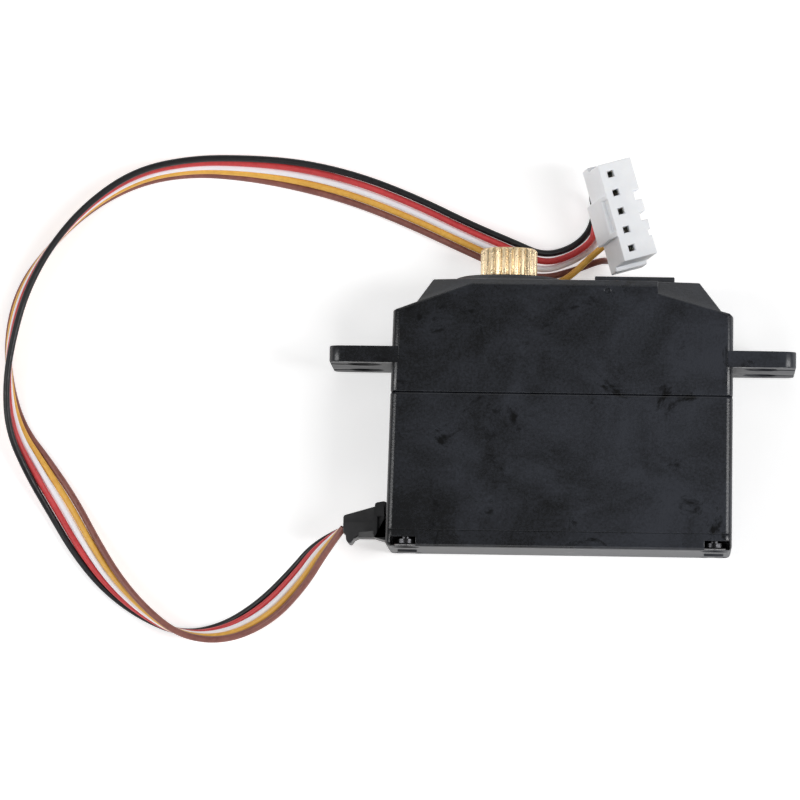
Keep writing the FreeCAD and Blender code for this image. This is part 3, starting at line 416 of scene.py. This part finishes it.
BLACK_PLASTIC = handled_case_with_painted_light(
    "case_black", (0.0026, 0.0030, 0.0040), (0.0235, 0.0265, 0.0350), (0.0020, 0.0022, 0.0027), 0.24
)
RELIEF_RUBBER = moulded_plastic("relief_black", (0.010, 0.010, 0.011), (0.022, 0.022, 0.024), 0.50, 0.003)
CAP_PLASTIC = moulded_plastic("cap_grey", (0.05, 0.05, 0.05), (0.09, 0.09, 0.085), 0.50, 0.002)
TRACK_BOARD = moulded_plastic("track_brown", (0.10, 0.045, 0.015), (0.20, 0.10, 0.04), 0.45, 0.001)
WIPER_PLASTIC = moulded_plastic("wiper_cream", (0.55, 0.52, 0.42), (0.68, 0.65, 0.55), 0.50, 0.001)
LACQUER = moulded_plastic("winding_lacquer", (0.28, 0.07, 0.02), (0.45, 0.14, 0.04), 0.28, 0.0006)
BRASS = brass_with_painted_groove_shade("spline_brass", (0.95, 0.77, 0.51), (0.55, 0.39, 0.21), GROOVE_SHADE_FULL_R, GROOVE_SHADE_GONE_R)
GEAR_BRASS = metal("gear_brass", (0.82, 0.60, 0.28), (0.45, 0.29, 0.12), 0.30)
GEAR_STEEL = metal("gear_steel", (0.60, 0.60, 0.61), (0.36, 0.35, 0.34), 0.34)
SCREW_STEEL = metal("screw_black_oxide", (0.045, 0.045, 0.048), (0.020, 0.020, 0.021), 0.20)
PIN_STEEL = metal("pin_ground", (0.66, 0.66, 0.68), (0.45, 0.45, 0.46), 0.20, (1, 10, 1))
MOTOR_STEEL = metal("motor_zinc", (0.58, 0.59, 0.61), (0.38, 0.38, 0.38), 0.30, (1, 0.1, 1))
CORE_STEEL = metal("core_laminations", (0.42, 0.42, 0.44), (0.22, 0.20, 0.19), 0.40, (1, 14, 1))
MAGNET = metal("magnet_ferrite", (0.10, 0.10, 0.11), (0.06, 0.06, 0.06), 0.55)
BRONZE = metal("bush_bronze", (0.66, 0.47, 0.26), (0.38, 0.25, 0.12), 0.36)
COPPER = metal("commutator_copper", (0.80, 0.42, 0.26), (0.42, 0.20, 0.11), 0.30, (1, 10, 1))
TINNED = metal("contact_tin", (0.72, 0.71, 0.68), (0.45, 0.43, 0.38), 0.28)
NYLON = nylon("plug_nylon", (0.92, 0.935, 0.965))
LEAD_RED = insulation("lead_red", (0.50, 0.05, 0.05), (0.34, 0.03, 0.03))
INSULATION = {
    "black": insulation("insulation_black", (0.004, 0.004, 0.006), (0.003, 0.003, 0.004)),
    "red": insulation("insulation_red", (0.70, 0.062, 0.065), (0.52, 0.038, 0.042)),
    "white": insulation("insulation_white", (0.97, 0.95, 0.98), (0.93, 0.90, 0.95)),
    "yellow": insulation("insulation_yellow", (0.88, 0.50, 0.090), (0.74, 0.37, 0.055)),
    "brown": insulation("insulation_brown", (0.30, 0.115, 0.090), (0.19, 0.065, 0.052)),
}
FINISHES = {
    "upper_case": BLACK_PLASTIC,
    "lower_case": BLACK_PLASTIC,
    "bottom_cover": BLACK_PLASTIC,
    "case_screws": SCREW_STEEL,
    "output_bearing": BRONZE,
    "output_gear": BRASS,
    "first_gear": GEAR_BRASS,
    "second_gear": GEAR_BRASS,
    "third_gear": GEAR_BRASS,
    "fourth_gear": GEAR_STEEL,
    "left_gear_pin": PIN_STEEL,
    "right_gear_pin": PIN_STEEL,
    "motor_can": MOTOR_STEEL,
    "motor_end_cap": CAP_PLASTIC,
    "motor_bearings": BRONZE,
    "motor_magnets": MAGNET,
    "motor_terminals": TINNED,
    "rotor_shaft": PIN_STEEL,
    "rotor_core": CORE_STEEL,
    "rotor_windings": LACQUER,
    "commutator": COPPER,
    "motor_pinion": GEAR_BRASS,
    "pot_housing": CAP_PLASTIC,
    "pot_shaft": PIN_STEEL,
    "pot_wiper": WIPER_PLASTIC,
    "pot_board": TRACK_BOARD,
    "pot_terminals": TINNED,
    "inner_leads": LEAD_RED,
    "strain_relief": RELIEF_RUBBER,
    "connector_housing": NYLON,
    "connector_contacts": TINNED,
}


def finish_with(piece, material):
    """Gives a piece one material in all its slots."""
    piece.data.materials.clear()
    piece.data.materials.append(material)


for node_name, finish in FINISHES.items():
    finish_with(NODES[node_name], finish)
for wire_colour, wire_piece in wires.items():
    finish_with(wire_piece, INSULATION[wire_colour])


# ---- softened edges ---------------------------------------------------------------------------------
# all lengths here are in mm
EDGE_RADII = {
    "upper_case": 0.12,
    "lower_case": 0.10,
    "bottom_cover": 0.07,
    "strain_relief": 0.14,
    "connector_housing": 0.12,
    "output_gear": 0.03,
}
# edges sharper than SHARP are rounded; shading runs on over edges up to SMOOTH_UP_TO
SHARP = math.radians(28)
SMOOTH_UP_TO = math.radians(32)
# points closer than WELD are joined, and faces that meet at less than FLAT_UP_TO become one
WELD = 0.002
FLAT_UP_TO = math.radians(1)
# an edge is rounded only where its neighbours are this many radii long
ROOM_FOR_ROUND = 1.5
# the seam's height and the size of its rounded lip, then how near to that height and to the broad
# sides an edge has to lie to belong to it
SEAM_H = 16.03
SEAM_LIP = 0.30
SEAM_NEAR = 0.01
SEAM_RIM = 0.75


def edges_to_round(mesh, radius):
    """The mesh's sharp outward edges, less those that end beside an edge too short to take a round."""
    chosen = {e for e in mesh.edges if e.is_convex and e.calc_face_angle(0) > SHARP}
    crowded = True
    while crowded:
        crowded = {
            edge
            for vertex in mesh.verts
            if any(
                e not in chosen and e.calc_length() < ROOM_FOR_ROUND * radius
                for e in vertex.link_edges
            )
            for edge in vertex.link_edges
            if edge in chosen
        }
        chosen -= crowded
    return list(chosen)


def seam_edges(mesh):
    """The outer edges that run along the mesh's two broad sides at the seam between the two shells."""
    low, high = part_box("lower_case")
    middle = (low.z + high.z) / 2
    seam_y = at(0, SEAM_H, 0).y
    rim = high.z - middle - SEAM_RIM * MM
    return [
        edge
        for edge in mesh.edges
        if edge.is_convex
        and all(
            abs(v.co.y - seam_y) < SEAM_NEAR * MM and abs(v.co.z - middle) > rim
            for v in edge.verts
        )
    ]


def bevel(mesh, edges, radius):
    """Rounds those edges of the mesh."""
    bmesh.ops.bevel(
        mesh,
        geom=edges,
        offset=radius,
        segments=3,
        profile=0.5,
        affect="EDGES",
        clamp_overlap=False,
        harden_normals=False,
    )


def soften(name, radius):
    """Puts a copy with rounded edges, as a moulded or machined part has them, in a CAD node's place."""
    radius *= MM
    mesh = bmesh.new()
    mesh.from_mesh(NODES[name].data)
    bmesh.ops.remove_doubles(mesh, verts=mesh.verts, dist=WELD * MM)
    bmesh.ops.dissolve_limit(mesh, angle_limit=FLAT_UP_TO, verts=mesh.verts, edges=mesh.edges)
    if name == "lower_case":
        bevel(mesh, seam_edges(mesh), SEAM_LIP * MM)
    bevel(mesh, edges_to_round(mesh, radius), radius)
    data = bpy.data.meshes.new(name + "_rounded")
    mesh.to_mesh(data)
    mesh.free()
    data.shade_smooth()
    data.set_sharp_from_angle(angle=SMOOTH_UP_TO)
    piece = bpy.data.objects.new(name + "_rounded", data)
    bpy.context.collection.objects.link(piece)
    shading = piece.modifiers.new("flat_faces_stay_flat", "WEIGHTED_NORMAL")
    shading.keep_sharp = True
    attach(piece, "output" if name == "output_gear" else "housing")
    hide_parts(name)
    finish_with(piece, FINISHES[name])


for node_name, edge_radius in EDGE_RADII.items():
    soften(node_name, edge_radius)


# ---- floor and light --------------------------------------------------------------------------------
ROOM_LIGHT = 0.17
FLOOR_GLOW = 0.42
FLOOR_REACH = 1.5
PAPER_DARK, PAPER_LIGHT = (0.94, 0.94, 0.94), (0.96, 0.96, 0.96)
# each soft box: where it hangs, its width and length in metres and its power in watts
SOFTBOXES = {
    "left_box": ((-0.48, -0.05, 0.52), (0.16, 0.50), 1.8),
    "right_box": ((0.46, -0.05, 0.54), (0.16, 0.50), 2.6),
    "front_box": ((0.05, -0.62, 0.36), (0.70, 0.25), 0.9),
    "back_box": ((-0.05, 0.60, 0.42), (0.80, 0.30), 0.45),
}


def add_floor():
    """A white sheet that glows a little, so it stays white under dim light."""
    data = bpy.data.meshes.new("floor")
    reach = FLOOR_REACH
    corners = [(-reach, -reach, 0), (reach, -reach, 0), (reach, reach, 0), (-reach, reach, 0)]
    data.from_pydata(corners, [], [(0, 1, 2, 3)])
    floor = bpy.data.objects.new("floor", data)
    bpy.context.collection.objects.link(floor)
    paper = Surface("paper", 0.9)
    fibre = paper.noise(0.004, detail=5.0)
    paper.colour(paper.blend(paper.fade(fibre, 0.3, 0.7), PAPER_DARK, PAPER_LIGHT))
    paper.shader.inputs["Emission Color"].default_value = (1, 1, 1, 1)
    paper.shader.inputs["Emission Strength"].default_value = FLOOR_GLOW
    finish_with(floor, paper.material)


def add_softbox(name, place, size, power):
    """A rectangular lamp that faces the middle of the floor."""
    data = bpy.data.lights.new(name, "AREA")
    data.shape = "RECTANGLE"
    data.size, data.size_y = size
    data.energy = power
    lamp = bpy.data.objects.new(name, data)
    bpy.context.collection.objects.link(lamp)
    lamp.location = place
    lamp.rotation_euler = (-Vector(place)).to_track_quat("-Z", "Y").to_euler()


def light_studio():
    """A dim pale room and four soft boxes: a narrow one high on each side, a wide one at each end."""
    world = bpy.data.worlds.new("studio")
    world.use_nodes = True
    background = world.node_tree.nodes["Background"]
    background.inputs["Color"].default_value = (1, 1, 1, 1)
    background.inputs["Strength"].default_value = ROOM_LIGHT
    bpy.context.scene.world = world
    for name, (place, size, power) in SOFTBOXES.items():
        add_softbox(name, place, size, power)
    bpy.context.scene.view_settings.view_transform = "Standard"


add_floor()
light_studio()
